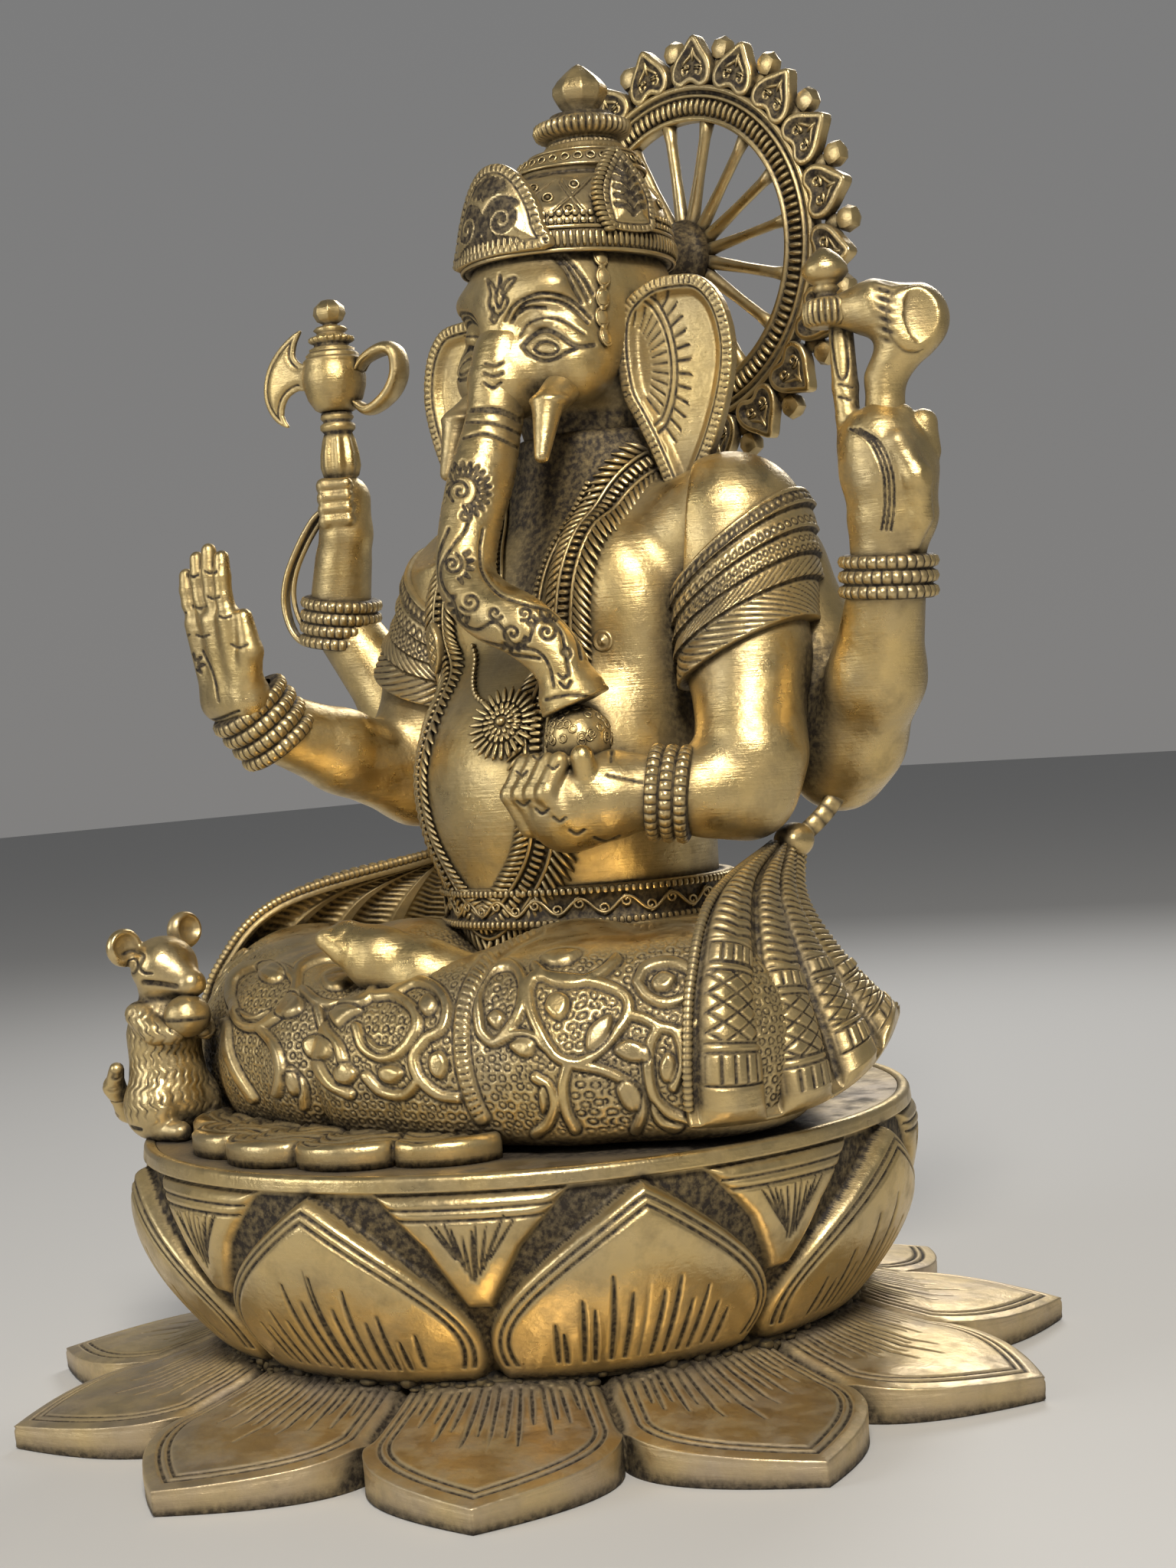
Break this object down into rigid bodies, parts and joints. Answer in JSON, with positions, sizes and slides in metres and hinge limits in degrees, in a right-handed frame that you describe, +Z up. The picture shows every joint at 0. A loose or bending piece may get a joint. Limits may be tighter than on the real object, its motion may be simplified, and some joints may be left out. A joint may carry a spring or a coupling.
{
  "type": "ganesha idol",
  "caption": "Seated elephant-headed deity idol in antique brass on a lotus base, with a crown, a wheel halo and a small mouse holding a sweet.",
  "frame": {"origin": "middle of the bounding box at the underside of the lotus base, on the table", "axes": "+Z up; the figure faces -Y; +X is the figure's own left"},
  "size_m": [0.3244, 0.3265, 0.4331],
  "materials": {
    "chased_brass": "chased antique brass, blackened recesses",
    "skin_brass": "polished antique brass, lightly brushed",
    "seam_brass": "rough, blackened",
    "steel": "plain"
  },
  "bodies": {
    "root": {"base_skirt": "chased_brass", "base_seam_bead": "seam_brass", "lotus_bowl": "chased_brass", "lotus_deck": "skin_brass", "dhoti_fan": "chased_brass", "mouse": "chased_brass", "mouse_sweet": "chased_brass", "hips": "chased_brass", "left_leg": "chased_brass", "right_leg": "chased_brass", "left_foot": "skin_brass", "torso": "skin_brass", "belt": "chased_brass", "garland": "chased_brass", "chest_brooch": "chased_brass", "garland_clasp": "chased_brass", "left_shawl": "chased_brass", "right_shawl": "chased_brass", "left_shawl_tail": "chased_brass", "right_shawl_tail": "chased_brass", "front_left_arm": "skin_brass", "front_right_arm": "skin_brass", "rear_left_arm": "skin_brass", "rear_right_arm": "skin_brass", "front_left_hand": "skin_brass", "front_right_hand": "skin_brass", "rear_left_hand": "skin_brass", "rear_right_hand": "skin_brass", "front_left_bracelet": "chased_brass", "front_right_bracelet": "chased_brass", "rear_left_bracelet": "chased_brass", "rear_right_bracelet": "chased_brass", "sweet_bowl": "chased_brass", "goad": "chased_brass", "axe_stem": "chased_brass", "axe_pot": "chased_brass", "axe_blade": "chased_brass", "axe_handle": "chased_brass", "head": "skin_brass", "trunk": "skin_brass", "left_tusk": "skin_brass", "right_tusk": "skin_brass", "left_ear": "chased_brass", "right_ear": "chased_brass", "crown_band": "chased_brass", "crown_plaque": "chased_brass", "left_crown_leaf": "chased_brass", "right_crown_leaf": "chased_brass", "crown_dome": "chased_brass", "crown_collar": "chased_brass", "crown_finial": "chased_brass", "halo": "chased_brass", "halo_stub": "chased_brass", "halo_screw": "steel", "seat_bolt": "steel", "seat_washer": "steel", "seat_nut": "steel", "neck_dowel": "steel", "crown_dowel": "steel"}
  },
  "joints": []
}
